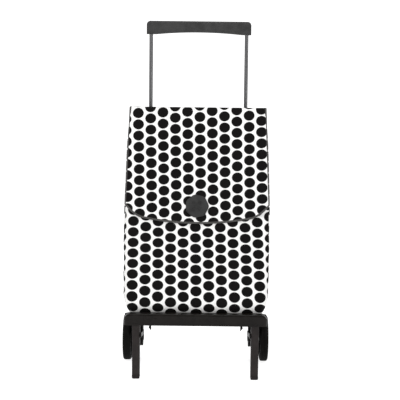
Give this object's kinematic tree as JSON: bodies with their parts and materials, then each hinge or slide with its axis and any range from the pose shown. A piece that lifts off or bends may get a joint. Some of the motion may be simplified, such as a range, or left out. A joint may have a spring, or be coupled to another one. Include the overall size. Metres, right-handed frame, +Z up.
{
  "type": "folding shopping trolley",
  "caption": "Two-wheeled folding shopping trolley: telescopic post handle, folding shelf with standing legs, and a dotted fabric bag with a buttoned flap.",
  "frame": {"origin": "on the floor, under the middle of the overall box", "axes": "+Z up along the posts, +X across the trolley to the right seen from the front, -Y towards the shelf and the flap"},
  "size_m": [0.411, 0.287, 0.96],
  "materials": {
    "dark_plastic": "fine spark-eroded grain",
    "black_plastic": "moulded satin",
    "gloss_plastic": "semi-gloss moulded",
    "leg_plastic": "satin moulded",
    "bush_plastic": "natural polyamide",
    "anodised_tube": "drawn and anodised grey",
    "painted_metal": "black powder coat",
    "steel": "zinc plated",
    "tyre_rubber": "matte rubber",
    "foot_rubber": "matte rubber",
    "printed_cloth": "white woven polyester printed with black dots",
    "lining_cloth": "dark grey woven polyester",
    "binding_tape": "ribbed binding tape"
  },
  "bodies": {
    "frame": {"outer_tube_left": "painted_metal", "outer_tube_right": "painted_metal", "guide_bushes": "black_plastic", "tube_collar_left": "black_plastic", "tube_collar_right": "black_plastic", "lock_springs": "steel", "upper_brace": "black_plastic", "lower_brace": "black_plastic", "post_rivets": "steel", "hanger_rod": "anodised_tube", "hanger_loops": "lining_cloth", "wheel_bracket_left": "black_plastic", "wheel_bracket_right": "black_plastic", "rear_rest": "black_plastic", "rest_screws": "steel", "tube_plugs": "black_plastic", "stub_axles": "painted_metal", "axle_washers": "steel", "axle_clips": "steel", "bracket_pins": "painted_metal", "bag_front": "printed_cloth", "bag_back": "lining_cloth", "bag_side_left": "printed_cloth", "bag_side_right": "printed_cloth", "bag_base": "lining_cloth", "bag_magnet": "steel"},
    "handle": {"handle_grip": "dark_plastic", "grip_pins": "steel", "inner_tube_left": "anodised_tube", "inner_tube_right": "anodised_tube", "glide_plugs": "black_plastic"},
    "button_left": {"lock_button_left": "dark_plastic"},
    "button_right": {"lock_button_right": "dark_plastic"},
    "wheel_left": {"tyre_left": "tyre_rubber", "rim_left": "black_plastic", "wheel_bush_left": "bush_plastic", "hub_cap_left": "gloss_plastic"},
    "wheel_right": {"tyre_right": "tyre_rubber", "rim_right": "black_plastic", "wheel_bush_right": "bush_plastic", "hub_cap_right": "gloss_plastic"},
    "shelf": {"shelf_bar": "gloss_plastic", "shelf_arm_left": "gloss_plastic", "shelf_arm_right": "gloss_plastic", "shelf_tray": "black_plastic", "shelf_screws": "steel", "leg_pins": "painted_metal"},
    "leg_left": {"leg_left": "leg_plastic", "foot_pad_left": "foot_rubber", "link_pin_left": "painted_metal"},
    "leg_right": {"leg_right": "leg_plastic", "foot_pad_right": "foot_rubber", "link_pin_right": "painted_metal"},
    "stay_left": {"stay_link_left": "painted_metal"},
    "stay_right": {"stay_link_right": "painted_metal"},
    "flap_lid": {"flap_top": "printed_cloth"},
    "flap_drop": {"flap_front": "printed_cloth", "closure_button": "dark_plastic", "flap_magnet": "steel"}
  },
  "joints": [
    {"name": "handle_slide", "type": "slide", "parent": "frame", "child": "handle", "axis": [0, 0, 1], "range_m": [-0.2, 0]},
    {"name": "lock_button_left", "type": "slide", "parent": "frame", "child": "button_left", "axis": [1, 0, 0], "range_m": [0, 0.003], "stiffness_N_per_m": 400, "deforming": ["lock_springs"]},
    {"name": "lock_button_right", "type": "slide", "parent": "frame", "child": "button_right", "axis": [-1, 0, 0], "range_m": [0, 0.003], "stiffness_N_per_m": 400, "deforming": ["lock_springs"]},
    {"name": "wheel_spin_left", "type": "hinge", "parent": "frame", "child": "wheel_left", "pos_m": [-0.1939, 0.0785, 0.065], "axis": [1, 0, 0], "continuous": true},
    {"name": "wheel_spin_right", "type": "hinge", "parent": "frame", "child": "wheel_right", "pos_m": [0.1939, 0.0785, 0.065], "axis": [1, 0, 0], "continuous": true},
    {"name": "shelf_fold", "type": "hinge", "parent": "frame", "child": "shelf", "pos_m": [0, 0.0035, 0.14], "axis": [-1, 0, 0], "range_deg": [0, 78], "deforming": ["bag_front", "bag_side_left", "bag_side_right", "bag_base"]},
    {"name": "leg_fold_left", "type": "hinge", "parent": "shelf", "child": "leg_left", "pos_m": [-0.1582, -0.1295, 0.163], "axis": [-1, 0, 0], "range_deg": [-78, 0]},
    {"name": "leg_fold_right", "type": "hinge", "parent": "shelf", "child": "leg_right", "pos_m": [0.1582, -0.1295, 0.163], "axis": [-1, 0, 0], "range_deg": [-78, 0]},
    {"name": "stay_fold_left", "type": "hinge", "parent": "frame", "child": "stay_left", "pos_m": [-0.144, 0.0035, 0.095], "axis": [-1, 0, 0], "range_deg": [0, 78]},
    {"name": "stay_fold_right", "type": "hinge", "parent": "frame", "child": "stay_right", "pos_m": [0.144, 0.0035, 0.095], "axis": [-1, 0, 0], "range_deg": [0, 78]},
    {"name": "flap_lift", "type": "hinge", "parent": "frame", "child": "flap_lid", "pos_m": [0, 0.0625, 0.718], "axis": [-1, 0, 0], "range_deg": [0, 75]},
    {"name": "flap_turn", "type": "hinge", "parent": "flap_lid", "child": "flap_drop", "pos_m": [0, 0.0199, 0.7195], "axis": [-1, 0, 0], "range_deg": [0, 75]}
  ],
  "couplings": [
    {"joint": "leg_fold_left", "follows": "shelf_fold", "ratio": -1},
    {"joint": "leg_fold_right", "follows": "shelf_fold", "ratio": -1},
    {"joint": "stay_fold_left", "follows": "shelf_fold", "ratio": 1},
    {"joint": "stay_fold_right", "follows": "shelf_fold", "ratio": 1},
    {"joint": "flap_turn", "follows": "flap_lift", "ratio": 1}
  ]
}
